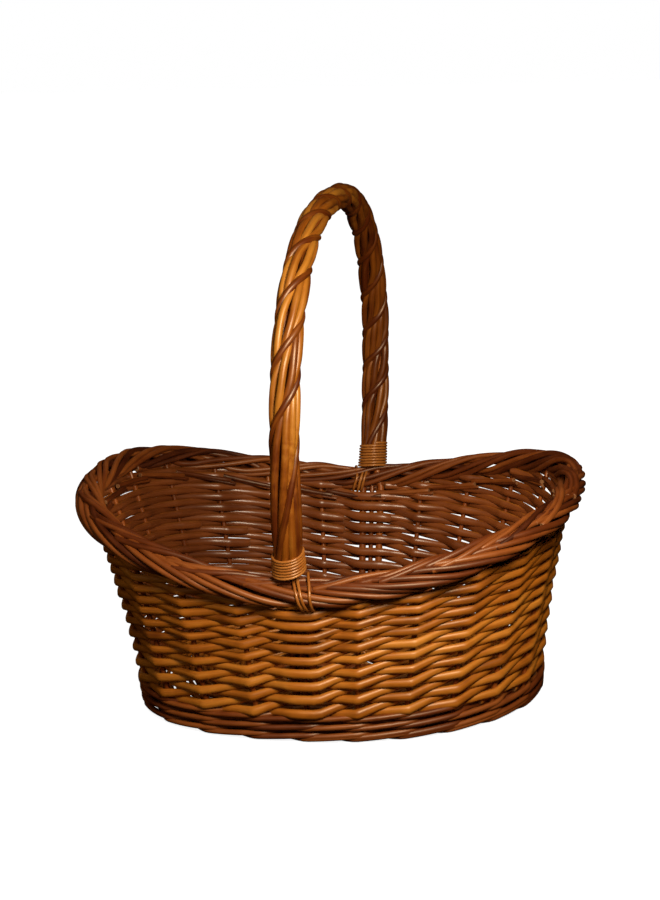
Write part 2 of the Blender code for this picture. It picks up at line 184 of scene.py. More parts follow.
class Rods:
    """Round rods gathered into one mesh, with their own coordinates for the materials."""

    def __init__(self):
        self.points = []
        self.faces = []
        self.flat = []
        self.grain = []
        self.tone = []
        self.cut = []
        self.total = 0

    def add(self, path, radius, up, tone, sides=10, squash=1.0):
        """One rod along path. up points away from the weave; squash flattens the rod in that direction.

        tone, from 0 dark to 1 light, sets the rod's colour; on the handle's rods it also carries painted
        shade.
        It and radius may vary along the rod."""
        path = np.asarray(path, float)
        radius = np.broadcast_to(np.asarray(radius, float), (len(path),))
        up = np.broadcast_to(np.asarray(up, float), path.shape)
        ahead = unit(np.gradient(path, axis=0))
        tone = np.broadcast_to(np.asarray(tone, float), (len(path),))
        # One narrower ring past each end rounds off the cut.
        head = path[0] - ahead[0] * radius[0] * END_LENGTH
        tail = path[-1] + ahead[-1] * radius[-1] * END_LENGTH
        cap = np.r_[1.0, np.zeros(len(path)), 1.0]
        path = np.vstack([head, path, tail])
        ahead = np.vstack([ahead[:1], ahead, ahead[-1:]])
        up = np.vstack([up[:1], up, up[-1:]])
        radius = np.r_[radius[0] * END_WIDTH, radius, radius[-1] * END_WIDTH]
        tone = np.r_[tone[0], tone, tone[-1]]
        side = unit(np.cross(ahead, up))
        up = np.cross(side, ahead)
        turn = 2.0 * math.pi * np.arange(sides) / sides
        ring = (
            path[:, None, :]
            + side[:, None, :] * np.cos(turn)[None, :, None] * radius[:, None, None]
            + up[:, None, :] * np.sin(turn)[None, :, None] * radius[:, None, None] * squash
        )
        run = along_path(path)
        count = len(path)
        grain = np.empty((count, sides, 3))
        grain[..., 0] = run[:, None]
        grain[..., 1] = np.cos(turn)[None, :] * radius[:, None]
        grain[..., 2] = np.sin(turn)[None, :] * radius[:, None]
        index = self.total + np.arange(count * sides).reshape(count, sides)
        after = np.roll(index, -1, axis=1)
        quads = np.stack([index[:-1], after[:-1], after[1:], index[1:]], -1).reshape(-1, 4)
        self.faces += quads.tolist()
        self.flat += [False] * len(quads)
        self.faces += [index[0][::-1].tolist(), index[-1].tolist()]
        self.flat += [True, True]
        self.points.append(ring.reshape(-1, 3))
        self.grain.append(grain.reshape(-1, 3))
        self.tone.append(np.repeat(tone, sides))
        self.cut.append(np.repeat(cap, sides))
        self.total += count * sides

    def piece(self, name, material, nodes):
        """Make the rods so far into one object that stands for these CAD nodes."""
        points = np.vstack(self.points)
        mesh = bpy.data.meshes.new(name)
        mesh.from_pydata(points.tolist(), [], self.faces)
        mesh.polygons.foreach_set("use_smooth", [not f for f in self.flat])
        for label, kind, values in (
            ("grain", "FLOAT_VECTOR", np.vstack(self.grain)),
            ("tone", "FLOAT", np.concatenate(self.tone)),
            ("cut", "FLOAT", np.concatenate(self.cut)),
        ):
            made = mesh.attributes.new(label, kind, "POINT")
            made.data.foreach_set("vector" if kind == "FLOAT_VECTOR" else "value", values.ravel())
        mesh.materials.append(material)
        mesh.update()
        obj = bpy.data.objects.new(name, mesh)
        bpy.context.scene.collection.objects.link(obj)
        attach(obj, "root")
        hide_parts(*nodes)


# ---- materials ----


class Graph:
    """Short way to write a material's node tree."""

    def __init__(self, name):
        self.material = bpy.data.materials.new(name)
        self.material.use_nodes = True
        self.tree = self.material.node_tree
        self.shader = self.tree.nodes["Principled BSDF"]

    def node(self, kind, settings=(), **inputs):
        """A new node. Inputs are given by name, or as i0, i1, ... by number."""
        made = self.tree.nodes.new(kind)
        for key, value in dict(settings).items():
            setattr(made, key, value)
        for key, value in inputs.items():
            numbered = key[0] == "i" and key[1:].isdigit()
            self.set(made.inputs[int(key[1:]) if numbered else key], value)
        return made

    def set(self, socket, value):
        if isinstance(value, bpy.types.NodeSocket):
            self.tree.links.new(value, socket)
        else:
            socket.default_value = value

    def attribute(self, name):
        return self.node("ShaderNodeAttribute", {"attribute_name": name})

    def math(self, operation, a, b=0.0, c=0.0, clamp=False):
        settings = {"operation": operation, "use_clamp": clamp}
        return self.node("ShaderNodeMath", settings, i0=a, i1=b, i2=c).outputs[0]

    def noise(self, vector, scale, detail=2.0, rough=0.5, w=0.0):
        made = self.node("ShaderNodeTexNoise", {"noise_dimensions": "4D"}, Vector=vector, W=w)
        self.set(made.inputs["Scale"], scale)
        self.set(made.inputs["Detail"], detail)
        self.set(made.inputs["Roughness"], rough)
        return made.outputs["Fac"]

    def stretch(self, vector, scale):
        made = self.node("ShaderNodeMapping", {"vector_type": "POINT"}, Vector=vector, Scale=scale)
        return made.outputs[0]

    def mix(self, fac, a, b, blend="MIX"):
        made = self.node("ShaderNodeMix", {"data_type": "RGBA", "blend_type": blend})
        self.set(made.inputs[0], fac)
        self.set(made.inputs[6], a)
        self.set(made.inputs[7], b)
        return made.outputs[2]

    def ramp(self, fac, stops):
        made = self.node("ShaderNodeValToRGB", Fac=fac)
        ramp = made.color_ramp
        while len(ramp.elements) < len(stops):
            ramp.elements.new(0.5)
        for element, (at, colour) in zip(ramp.elements, stops):
            element.position = at
            element.color = (*colour, 1.0)
        return made.outputs["Color"]


def willow(name, dark, middle, light, spread=0.5, roughness=0.42, inside=None):
    """Stained and varnished willow: streaks along the rod, blotches, leaf scars and matt cut ends.

    spread is how much the rods differ in tone. inside is the pair of darker, redder colours painted on the
    side of the rods that faces into the basket, as painted shade of the basket's inside."""
    g = Graph(name)
    grain = g.attribute("grain").outputs["Vector"]
    tone = g.attribute("tone").outputs["Fac"]
    cut = g.attribute("cut").outputs["Fac"]
    shift = g.math("MULTIPLY", tone, 37.0)
    streaks = g.noise(g.stretch(grain, (9.0, 420.0, 420.0)), 1.0, 3.0, 0.6, shift)
    blotches = g.noise(g.stretch(grain, (42.0, 60.0, 60.0)), 1.0, 2.0, 0.5, shift)
    fibres = g.noise(g.stretch(grain, (160.0, 2600.0, 2600.0)), 1.0, 2.0, 0.6, shift)
    value = g.math("MULTIPLY_ADD", tone, spread, 0.5 - spread / 2.0)
    value = g.math("ADD", value, g.math("MULTIPLY_ADD", streaks, 0.75, -0.375))
    value = g.math("ADD", value, g.math("MULTIPLY_ADD", blotches, 0.7, -0.35), clamp=True)
    colour = g.ramp(value, ((0.08, dark), (0.5, middle), (0.92, light)))
    if inside:
        # Painted shade: the side of each rod that faces into the basket takes the darker, redder inside
        # colours.
        depth = g.node("ShaderNodeSeparateXYZ", Vector=grain).outputs["Z"]
        outer = g.math("MULTIPLY_ADD", depth, 450.0, 0.75, clamp=True)
        colour = g.mix(outer, g.mix(value, (*inside[0], 1.0), (*inside[1], 1.0)), colour)
        g.set(g.shader.inputs["Coat Weight"], g.math("MULTIPLY_ADD", outer, -0.6, 0.6))
    fine = g.ramp(fibres, ((0.3, (0.72, 0.66, 0.6)), (0.6, (1.0, 1.0, 1.0))))
    colour = g.mix(0.6, colour, fine, "MULTIPLY")
    scars = g.node(
        "ShaderNodeTexVoronoi",
        {"voronoi_dimensions": "4D", "feature": "F1"},
        Vector=g.stretch(grain, (26.0, 150.0, 150.0)),
        W=shift,
        Scale=1.0,
    ).outputs["Distance"]
    scar = g.ramp(scars, ((0.02, (1.0, 1.0, 1.0)), (0.10, (0.0, 0.0, 0.0))))
    bark = [part * share for part, share in zip(dark, (0.4, 0.35, 0.3))]
    colour = g.mix(g.math("MULTIPLY", scar, 0.5), colour, (*bark, 1.0))
    pith = g.noise(g.stretch(grain, (300.0, 900.0, 900.0)), 1.0, 2.0, 0.5, shift)
    end = g.ramp(pith, ((0.3, (0.13, 0.04, 0.01)), (0.7, (0.28, 0.11, 0.03))))
    colour = g.mix(cut, colour, end)
    g.set(g.shader.inputs["Base Color"], colour)
    gloss = g.math("MULTIPLY_ADD", blotches, 0.16, roughness - 0.08)
    gloss = g.math("ADD", gloss, g.math("MULTIPLY", cut, 0.3))
    g.set(g.shader.inputs["Roughness"], gloss)
    g.shader.inputs["Coat Roughness"].default_value = 0.3
    g.shader.inputs["Specular IOR Level"].default_value = 0.75
    g.shader.inputs["Specular Tint"].default_value = (1.0, 0.76, 0.5, 1.0)
    height = g.math("MULTIPLY_ADD", fibres, 0.35, g.math("MULTIPLY", streaks, 0.8))
    bump = g.node("ShaderNodeBump", Height=height)
    bump.inputs["Strength"].default_value = 0.35
    bump.inputs["Distance"].default_value = 0.0004
    g.set(g.shader.inputs["Normal"], bump.outputs["Normal"])
    return g.material


# Darker, redder colours painted on the inner side of the golden rods: painted shade of the basket's
# inside.
INSIDE_SHADE = ((0.09, 0.016, 0.003), (0.34, 0.085, 0.014))
GOLDEN = willow(
    "willow_golden",
    dark=(0.15, 0.032, 0.002),
    middle=(0.43, 0.118, 0.007),
    light=(0.66, 0.235, 0.024),
    spread=0.35,
    inside=INSIDE_SHADE,
)
RUSSET = willow(
    "willow_russet",
    dark=(0.048, 0.007, 0.001),
    middle=(0.15, 0.028, 0.003),
    light=(0.29, 0.072, 0.010),
    spread=0.7,
    roughness=0.45,
)
STAKE_RED = willow(
    "willow_stake",
    dark=(0.09, 0.014, 0.001),
    middle=(0.25, 0.048, 0.004),
    light=(0.40, 0.10, 0.010),
    spread=0.4,
)
ROPE_GOLD = willow(
    "willow_rope",
    dark=(0.09, 0.014, 0.001),
    middle=(0.25, 0.062, 0.003),
    light=(0.44, 0.155, 0.014),
    spread=0.9,
    roughness=0.40,
)
CANE = willow(
    "binding_cane",
    dark=(0.16, 0.035, 0.003),
    middle=(0.34, 0.098, 0.012),
    light=(0.55, 0.20, 0.035),
    spread=0.3,
    roughness=0.34,
)


# ---- siding ----

SIDING_START = 30 * MM
SIDING_TOP_GAP = 5.0 * MM
# Rows rise by ROW_RISE, less ROW_EASE times their number squared, up to row ROW_EASED, then evenly.
# At the ends of the basket they stand ROW_END_RISE further apart.
ROW_RISE, ROW_EASE, ROW_EASED = 14.6 * MM, 0.29 * MM, 8
ROW_END_RISE = 0.09
# A rod climbs by its row's skew between the stake behind and the stake in front.
ROW_SKEW_NEAR, ROW_SKEW_FAR = 4.2 * MM, 0.6 * MM

# Each rod starts behind one stake and runs past 27 more. At a handle stake it keeps straight for a while.
ROD_FROM, ROD_TO = -1.3, 27.0
STAKE_PLATEAU = 0.25
# How far a rod swings out and in round the stakes, and the share of that missing at the basket's ends.
ROD_AMP, ROD_AMP_HANDLE = 6.3 * MM, 7.2 * MM
END_CALM = 0.5
# Shape of the swing: KINK sharpens its turns and ROD_BEND flattens its middle.
KINK, ROD_BEND = 0.9996, 1.2
# Radius at the thick end and loss of radius per stake. A rod is fuller over a stake than between two.
ROD_R, ROD_TAPER = 4.45 * MM, 0.034 * MM
ROD_SLIM, ROD_SWELL = 0.84, 0.22
ROD_FLAT = 0.74
FAR_THICKER = 0.08
WANDER_UP, WANDER_OUT = 0.45 * MM, 0.25 * MM
# A rod ends this many stakes on, and the next one begins beside it, JOINT_IN further in.
JOINTS = (9, 11, 13)
JOINT_IN, JOINT_REACH = 4.2 * MM, 0.9
# Samples between one stake and the next, closer together near the turns.
IN_STEP = np.array([0.0, 0.04, 0.09, 0.17, 0.3, 0.43, 0.57, 0.7, 0.83, 0.91, 0.96])


def swing(t):
    """Wave between +1 at even and -1 at odd numbers, nearly straight between its sharp turns."""
    wave = np.arcsin(KINK * np.cos(math.pi * t)) / math.asin(KINK)
    return np.sign(wave) * np.abs(wave) ** ROD_BEND


def handle_distance(u):
    """Stakes from the nearest handle stake, negative before it."""
    half = STAKES // 2
    return (np.asarray(u) + half / 2) % half - half / 2


def held(u):
    """u with a flat stretch at the two handle stakes, where the rods cross three uprights at once."""
    d = handle_distance(u)
    near = np.abs(d) < 1.0
    pulled = np.sign(d) * np.clip((np.abs(d) - STAKE_PLATEAU) / (1.0 - STAKE_PLATEAU), 0.0, 1.0)
    return np.where(near, u - d + pulled, u)


def row_height(q, phi):
    """Height of row q, which may be a fraction."""
    low = np.minimum(q, ROW_EASED)
    z = ROW_RISE * low - ROW_EASE * low**2
    z = z + (ROW_RISE - 2.0 * ROW_EASE * ROW_EASED) * (q - low)
    return SIDING_START + z * (1.0 + ROW_END_RISE * end_share(phi))


def steps(first, last):
    """Sample positions, closer together near the stakes."""
    whole = np.arange(math.floor(first), math.ceil(last) + 1)
    fine = (whole[:, None] + IN_STEP[None, :]).ravel()
    return fine[(fine >= first) & (fine <= last)]


def siding_line(r, rng):
    """One rod line from its start behind stake r - 1, climbing one row every two stakes.

    Gives the stakes passed, polar angle, height and distance off the wall of each sample."""
    passed = steps(ROD_FROM, ROD_TO)
    u = r + passed
    t = held(u) - r
    phi = polar(u)
    at_handle = smooth_step(1.0 - np.abs(handle_distance(u)))
    amp = ROD_AMP * (1.0 - END_CALM * end_share(phi)) + (ROD_AMP_HANDLE - ROD_AMP) * at_handle
    skew = ROW_SKEW_NEAR + (ROW_SKEW_FAR - ROW_SKEW_NEAR) * far_share(phi)
    wave = swing(t)
    stakes = np.arange(math.floor(ROD_FROM), math.ceil(ROD_TO) + 2)
    wander_up = np.interp(t, stakes, rng.normal(0.0, WANDER_UP, len(stakes)))
    wander_out = np.interp(t, stakes, rng.normal(0.0, WANDER_OUT, len(stakes)))
    z = row_height(t / 2.0, phi) + skew * (1.0 - wave) / 2.0 + wander_up
    return passed, phi, z, wave * amp + wander_out


def make_siding():
    rng = np.random.default_rng(SEED)
    rods = Rods()
    for r in range(STAKES):
        passed, phi, z, off = siding_line(r, rng)
        below = z < rim_height(phi) - SIDING_TOP_GAP
        edges = np.flatnonzero(np.diff(np.r_[0, below.astype(int), 0]))
        joint = JOINTS[int(rng.integers(0, len(JOINTS)))]
        radius = ROD_R - ROD_TAPER * np.clip(passed, 0, 20)
        radius = radius * (ROD_SLIM + ROD_SWELL * np.abs(off) / ROD_AMP)
        radius = radius * (1.0 + FAR_THICKER * far_share(phi))
        for start, stop in edges.reshape(-1, 2):
            spans = [(start, stop)]
            if passed[start] < joint - 2 and passed[stop - 1] > joint + 2:
                cut = int(np.searchsorted(passed, joint))
                spans = [(start, cut + 5), (cut - 5, stop)]
            for k, (a, b) in enumerate(spans):
                if b - a < 6:
                    continue
                run = passed[a:b] - passed[a]
                out = off[a:b].copy()
                if k:
                    out -= JOINT_IN * smooth_step(1.0 - run / JOINT_REACH)
                scale = rng.uniform(0.93, 1.05)
                taper = 1.0 - 0.10 * run / max(run[-1], 6.0) + (0.05 if k else 0.0)
                path = wall(phi[a:b], z[a:b], out)
                up = outward(phi[a:b], z[a:b])
                rods.add(path, radius[a:b] * scale * taper, up, rng.random(), squash=ROD_FLAT)
    nodes = [f"siding_round_{i + 1}" for i in range(9)]
    rods.piece("siding_rods", GOLDEN, nodes)


# ---- upsett wale ----

WALE_RODS = 3
WALE_R = 2.7 * MM
# Height of the first round, rise per round, and how far a stroke lifts a rod above and below its line.
WALE_START, WALE_PITCH, WALE_LIFT = 5.2 * MM, 9.0 * MM, 2.7 * MM
WALE_LOWEST = 2.2 * MM
# A rod lies WALE_IN inside the wall behind a stake, and moves out by WALE_OUT to pass the next two.
WALE_IN, WALE_OUT = 4.0 * MM, 8.6 * MM


def make_wale():
    """Three rods, each over two stakes and behind one: one level round at the foot, then two climbing."""
    rng = np.random.default_rng(SEED + 1)
    rods = Rods()
    for k in range(WALE_RODS):
        s = np.arange(-STAKES - 0.6, 2 * STAKES + 1.2, 0.1)
        u = s + k
        stroke = (s + 0.55) % 3.0
        front = smooth_step(stroke / 0.55) * smooth_step((2.0 - stroke) / 0.55 + 0.15)
        off = -WALE_IN + WALE_OUT * np.where(stroke < 2.3, front, 0.0)
        saw = np.where(stroke < 2.2, stroke / 2.2, (3.0 - stroke) / 0.8)
        lift = WALE_LIFT * (0.7 * smooth_step(saw) + 1.3 * saw - 1.0)
        z = WALE_START + WALE_PITCH * np.maximum(s + 4.0, 0.0) / STAKES + lift
        z = np.maximum(z, WALE_LOWEST)
        phi = polar(u)
        radius = WALE_R * rng.uniform(0.95, 1.05) * (1.0 - 0.08 * (s - s[0]) / (s[-1] - s[0]))
        rods.add(wall(phi, z, off), radius, outward(phi, z), rng.random())
    nodes = [f"upsett_wale_{i + 1}" for i in range(WALE_RODS)]
    rods.piece("upsett_wale_rods", RUSSET, nodes)


# ---- stakes ----

# Height of the middle of the base, where the stakes are pushed in.
BASE_Z = 8.8 * MM
STAKE_R_LOW, STAKE_R_HIGH = 2.65 * MM, 2.3 * MM
STAKE_TOP_GAP = 4.0 * MM


def make_stakes():
    rng = np.random.default_rng(SEED + 2)
    rods = Rods()
    for k in range(STAKES):
        phi = STAKE_PHI[k] + rng.normal(0.0, 0.0025)
        top = rim_height(phi) - STAKE_TOP_GAP
        # Height and distance off the wall: in from the base, a bend, then straight up the weave.
        keys = [
            (BASE_Z, -16.0 * MM),
            (BASE_Z, -8.0 * MM),
            (BASE_Z + 1.2 * MM, -3.0 * MM),
            (BASE_Z + 5.0 * MM, -0.3 * MM),
            (BASE_Z + 12.0 * MM, 0.0),
            (BASE_Z + 0.5 * (top - BASE_Z), rng.normal(0.0, 0.3 * MM)),
            (top, 0.0),
        ]
        at = np.linspace(0.0, len(keys) - 1.0, 31)
        table = eased(at, np.arange(len(keys)), keys)
        path = wall(phi, table[:, 0], table[:, 1])
        ahead = unit(wall(phi + 1e-3, 0.09) - wall(phi, 0.09))
        radius = np.linspace(STAKE_R_LOW, STAKE_R_HIGH, len(at))
        rods.add(path, radius, ahead, rng.random())
    nodes = [f"side_stake_{i + 1:02d}" for i in range(STAKES)]
    rods.piece("side_stakes", STAKE_RED, nodes)


# ---- base ----

CROSS_STICKS, CROSS_APART, CROSS_R = 5, 32.0 * MM, 4.2 * MM
LONG_STICKS, LONG_APART, LONG_R, LONG_FLAT = 3, 12.0 * MM, 4.3 * MM, 0.5
STICK_SHORT = 19.0 * MM
MIDDLE_X = (FOOT_RIGHT_A - FOOT_LEFT_A) / 2.0
STICK_OVAL_A = (FOOT_RIGHT_A + FOOT_LEFT_A) / 2.0 - STICK_SHORT
STICK_OVAL_B = FOOT_B - STICK_SHORT
CROSS_X = [MIDDLE_X + (i - (CROSS_STICKS - 1) / 2) * CROSS_APART for i in range(CROSS_STICKS)]
LONG_Y = [(i - (LONG_STICKS - 1) / 2) * LONG_APART for i in range(LONG_STICKS)]
# Rings of base weave, from an oval round the long sticks out to the foot of the wall.
BASE_RINGS, BASE_ROD_R = 36, 1.95 * MM
BASE_INNER_A, BASE_INNER_B, BASE_INNER_POWER = 0.074, 0.0195, 3.0
BASE_EDGE_GAP = 4.0 * MM
BASE_WAVE = 5.2 * MM
UP = (0.0, 0.0, 1.0)


def make_base_sticks(rng):
    """Long sticks pushed through slits in the cross sticks, which swell there."""
    sticks = Rods()
    for x in CROSS_X:
        half = STICK_OVAL_B * math.sqrt(1.0 - ((x - MIDDLE_X) / STICK_OVAL_A) ** 2)
        y = np.linspace(-half, half, 9)
        path = np.stack([x + 0.0 * y, y, BASE_Z + 0.0 * y], -1)
        swell = 1.0 + 0.25 * np.exp(-((y / 0.02) ** 2))
        sticks.add(path, CROSS_R * swell, UP, rng.random(), 14)
    nodes = [f"base_cross_stick_{i + 1}" for i in range(CROSS_STICKS)]
    sticks.piece("base_cross_sticks", STAKE_RED, nodes)
    sticks = Rods()
    for y in LONG_Y:
        half = STICK_OVAL_A * math.sqrt(1.0 - (y / STICK_OVAL_B) ** 2)
        x = MIDDLE_X + np.linspace(-half, half, 9)
        path = np.stack([x, y + 0.0 * x, BASE_Z + 0.0 * x], -1)
        sticks.add(path, LONG_R, UP, rng.random(), 14, squash=LONG_FLAT)
    nodes = [f"base_long_stick_{i + 1}" for i in range(LONG_STICKS)]
    sticks.piece("base_long_sticks", STAKE_RED, nodes)


def stick_crossings(radius, phi):
    """Polar angles where a ring crosses the sticks."""
    x, y = radius * np.cos(phi), radius * np.sin(phi)
    found = []
    for run, lines in ((x, CROSS_X), (y, LONG_Y)):
        for line in lines:
            change = np.flatnonzero(np.diff(np.sign(run - line)) != 0)
            reach = np.abs(y[change]) > 0.02 if run is x else np.abs(x[change]) > 0.05
            found.extend(phi[change[reach]])
    return np.sort(found)


def make_base_rods(rng):
    """Rings that go over one stick and under the next, the other way round in every second ring."""
    rods = Rods()
    fine = np.linspace(0.0, 2.0 * math.pi, 1441)
    inner = outline(fine, BASE_INNER_A, BASE_INNER_B, BASE_INNER_POWER)
    for n in range(BASE_RINGS):
        f = n / (BASE_RINGS - 1)
        radius = inner + (foot_radius(fine) - BASE_EDGE_GAP - inner) * f
        crossings = stick_crossings(radius, fine)
        keys = np.r_[crossings[-1] - 2.0 * math.pi, crossings, crossings[0] + 2.0 * math.pi]
        count = np.r_[-1, np.arange(len(crossings) + 1)]
        phi = np.linspace(0.0, 2.0 * math.pi, 160) + rng.uniform(0.0, 2.0 * math.pi)
        turned = np.mod(phi, 2.0 * math.pi)
        wave = np.cos(math.pi * (np.interp(turned, keys, count) + n))
        z = BASE_Z + BASE_WAVE * (1.0 - 0.5 * f**4) * np.sign(wave) * np.abs(wave) ** 0.7
        at = np.interp(turned, fine, radius)
        path = np.stack([at * np.cos(phi), at * np.sin(phi), z], -1)
        rods.add(path, BASE_ROD_R * rng.uniform(0.95, 1.04), UP, rng.random(), 8)
    rods.piece("base_rods", GOLDEN, ["base_weave_lower", "base_weave_upper"])


def make_base():
    rng = np.random.default_rng(SEED + 3)
    make_base_sticks(rng)
    make_base_rods(rng)


# ---- border ----


BORDER_SQUASH = 0.92


def border_point(u, alpha, rho):
    """Point round the border's centre line: alpha in degrees, 0 outwards and 90 upwards, rho in mm."""
    phi = polar(u)
    a = np.radians(alpha)
    point = wall(phi, rim_height(phi), BORDER_OUT + np.cos(a) * rho * MM)
    point[..., 2] += np.sin(a) * rho * MM * BORDER_SQUASH
    return point


def border_away(u, alpha):
    """Direction from the border's centre line to the point at angle alpha."""
    a = np.radians(alpha)[:, None]
    return outward(polar(u), 0.12) * np.cos(a) + np.array(UP) * np.sin(a)


# One bundle of two rods: stakes run from its cut end, angle and distance (mm) from the centre line.
BUNDLE = (
    (0.00, 48.0, 9.6),
    (0.5, 66.0, 11.8),
    (0.95, 90.0, 13.2),
    (1.3, 115.0, 12.2),
    (1.7, 145.0, 10.2),
    (2.2, 188.0, 8.8),
    (2.6, 222.0, 7.4),
    (2.9, 225.0, 4.0),
    (3.15, 110.0, 3.2),
    (3.45, 94.0, 6.4),
    (3.9, 76.0, 8.8),
    (4.5, 36.0, 10.2),
    (5.1, 0.0, 10.8),
    (5.6, -40.0, 10.2),
    (5.95, -75.0, 8.8),
    (6.15, -100.0, 7.4),
)
BUNDLE_STEP = 0.06
BUNDLE_APART = 2.55 * MM
BUNDLE_R_LEAST, BUNDLE_R_MOST = 2.5 * MM, 3.0 * MM
# Two shorter rods per stake inside, under the border: radius and drop below the rim in mm, length in
# stakes, and start in stakes from the stake.
TUCKED = ((2.3, 14.0, 1.1, -0.22), (1.5, 17.2, 0.8, -0.32))


def make_border():
    rng = np.random.default_rng(SEED + 4)
    rods = Rods()
    table = np.array(BUNDLE)
    at = np.arange(table[0, 0], table[-1, 0] + 1e-6, BUNDLE_STEP)
    for k in range(STAKES):
        shift = rng.normal(0.0, 0.07)
        sway = rng.uniform(0.0, 6.28)
        for rod in (-1.0, 1.0):
            start = 0.0 if rod < 0 else rng.uniform(0.0, 0.3)
            here = at[at >= at[0] + start]
            shape = eased(here, table[:, 0], table[:, 1:])
            phase = rng.uniform(0.0, 6.28)
            alpha = shape[:, 0] + 3.0 * np.sin(here * 1.7 + phase) + 5.0 * np.sin(here * 1.1 + sway)
            rho = shape[:, 1] + 0.4 * np.sin(here * 2.3 + phase) + 0.5 * np.sin(here * 1.4 + sway)
            u = k + shift + here
            centre = border_point(u, alpha, rho)
            away = border_away(u, alpha)
            beside = unit(np.cross(unit(np.gradient(centre, axis=0)), away))
            size = rng.uniform(BUNDLE_R_LEAST, BUNDLE_R_MOST)
            path = centre + beside * rod * BUNDLE_APART
            rods.add(path, size * np.linspace(0.92, 1.06, len(here)), away, rng.random())
        for radius, drop, length, start in TUCKED:
            here = np.linspace(0.0, 1.0, 9)
            off = -8.6 + 3.4 * here + rng.normal(0.0, 0.3)
            phi = polar(k + start + here * length)
            z = rim_height(phi) - drop * MM + 3.0 * MM * here**2
            path = wall(phi, z, off * MM)
            rods.add(path, radius * MM * rng.uniform(0.92, 1.05), outward(phi, z), rng.random())
    rods.piece("border_plait_rods", RUSSET, ["border_plait"])


# ---- handle ----


def arch_point(turn):
    """Point on the handle's centre line, from turn -1 at the near foot to 1 at the far foot."""
    side = -1.0 if turn < 0.0 else 1.0
    rest = 1.0 - abs(turn)
    if rest < ARCH_FOOT_SHARE:
        z = HANDLE_FOOT_Z + (ARCH_Z - HANDLE_FOOT_Z) * rest / ARCH_FOOT_SHARE
        down = (ARCH_Z - z) / (ARCH_Z - HANDLE_FOOT_Z)
        y = ARCH_W - (ARCH_W - HANDLE_FOOT_Y) * down**2
    else:
        angle = math.pi / 2.0 * (rest - ARCH_FOOT_SHARE) / (1.0 - ARCH_FOOT_SHARE)
        power = 2.0 / (ARCH_POWER_NEAR if side < 0.0 else ARCH_POWER_FAR)
        y = ARCH_W * max(math.cos(angle), 0.0) ** power
        z = ARCH_Z + (ARCH_TOP - ARCH_Z) * math.sin(angle) ** power
    lift = (z - HANDLE_FOOT_Z) / (ARCH_TOP - HANDLE_FOOT_Z)
    skew = FOOT_SKEW_NEAR if side < 0.0 else FOOT_SKEW_FAR
    centre = (FOOT_SKEW_NEAR + FOOT_SKEW_FAR) / 2.0
    x = centre + (skew - centre) * y / HANDLE_FOOT_Y + ARCH_LEAN * lift
    return np.array([x, side * y, z])


def even_arch(count):
    """Points at equal steps along the arch, and their distances from its near foot."""
    fine = np.array([arch_point(t) for t in np.linspace(-1.0, 1.0, 1601)])
    run = along_path(fine)
    at = np.linspace(0.0, run[-1], count)
    return np.stack([np.interp(at, run, fine[:, k]) for k in range(3)], -1), at


def arch_frame(path):
    """Directions sideways and away from the middle of the hoop at each point of the arch."""
    ahead = unit(np.gradient(path, axis=0))
    sideways = unit(np.array([1.0, 0.0, 0.0]) - ahead * ahead[:, :1])
    return sideways, np.cross(ahead, sideways)


BOW_R = 3.6 * MM
# Distance of each bow from the arch's centre line, and from the handle stake inside the wall.
BOW_HALF, BOW_HALF_LOW = 4.2 * MM, 8.7 * MM
BOW_START, BOW_TOP_GAP = 40.0 * MM, 6.0 * MM


def make_bows():
    rng = np.random.default_rng(SEED + 5)
    arch, _ = even_arch(60)
    sideways, radial = arch_frame(arch)
    for name, rod in (("handle_bow_left", -1.0), ("handle_bow_right", 1.0)):
        rods = Rods()
        climb = np.linspace(BOW_START, rim_height(PHI_NEAR) - BOW_TOP_GAP, 12)
        near = wall(moved(PHI_NEAR, rod * BOW_HALF_LOW), climb)
        drop = np.linspace(rim_height(PHI_FAR) - BOW_TOP_GAP, BOW_START, 12)
        far = wall(moved(PHI_FAR, -rod * BOW_HALF_LOW), drop)
        path = np.vstack([near, arch + sideways * rod * BOW_HALF, far])
        near_up = outward(np.full(12, PHI_NEAR), 0.1)
        far_up = outward(np.full(12, PHI_FAR), 0.1)
        rods.add(path, BOW_R, np.vstack([near_up, -radial, far_up]), rng.random(), 12)
        rods.piece(name + "_rod", STAKE_RED, [name])


# Golden rods round the bows: number, distance from the centre line, how far the ridge rods press them in,
# and radius, all in mm. Rods inside them fill the middle.
CORE_RODS = 11
CORE_FAR, CORE_DIP, CORE_R = 10.1, 3.5, 3.2
CORE_TWIST = 0.3
FILLER_FAR, FILLER_R = 5.2, 3.3
# The two darker ridge rods, and their half turns at distances (mm) along the arch from its near foot.
RIDGE_FAR, RIDGE_R = 9.8, 2.95
RIDGE_START = math.radians(-79.0)
RIDGE_AT = (-20, 30, 80, 130, 157, 204, 253, 293, 643, 685, 722, 758, 800, 850)
RIDGE_TURNS = (-1.5, -1.25, -0.9, -0.5, 0.0, 1.0, 2.0, 3.0, 10.9, 11.9, 12.9, 13.9, 14.9, 15.3)
# The handle is thinner at its top, within TOP_REACH, and fuller down its far leg. All in mm.
TOP_THIN, TOP_REACH, FAR_FULLER = 1.5, 130.0, 0.9
# Painted shade: how much darker the rods are painted down the far leg, where less light reaches them.
FAR_PAINTED_SHADE = 0.62
ROPING_LOW = 10.5 * MM
FOOT_TIGHT = 18.5 * MM

BINDING_R, BINDING_SLANT = 1.25 * MM, 0.12
# Start above the bow's foot, height and number of turns of each binding.
BINDING_FRONT = (8.5 * MM, 19.6 * MM, 7.3)
BINDING_REAR = (1.5 * MM, 23.5 * MM, 8.3)


def ridge_angles(at):
    """Angle of the first ridge rod round the arch at each distance along it."""
    ridge = RIDGE_START + math.pi * np.interp(at / MM, RIDGE_AT, RIDGE_TURNS)
    padded = np.pad(ridge, 12, mode="reflect", reflect_type="odd")
    return np.convolve(padded, np.ones(25) / 25.0, mode="valid")


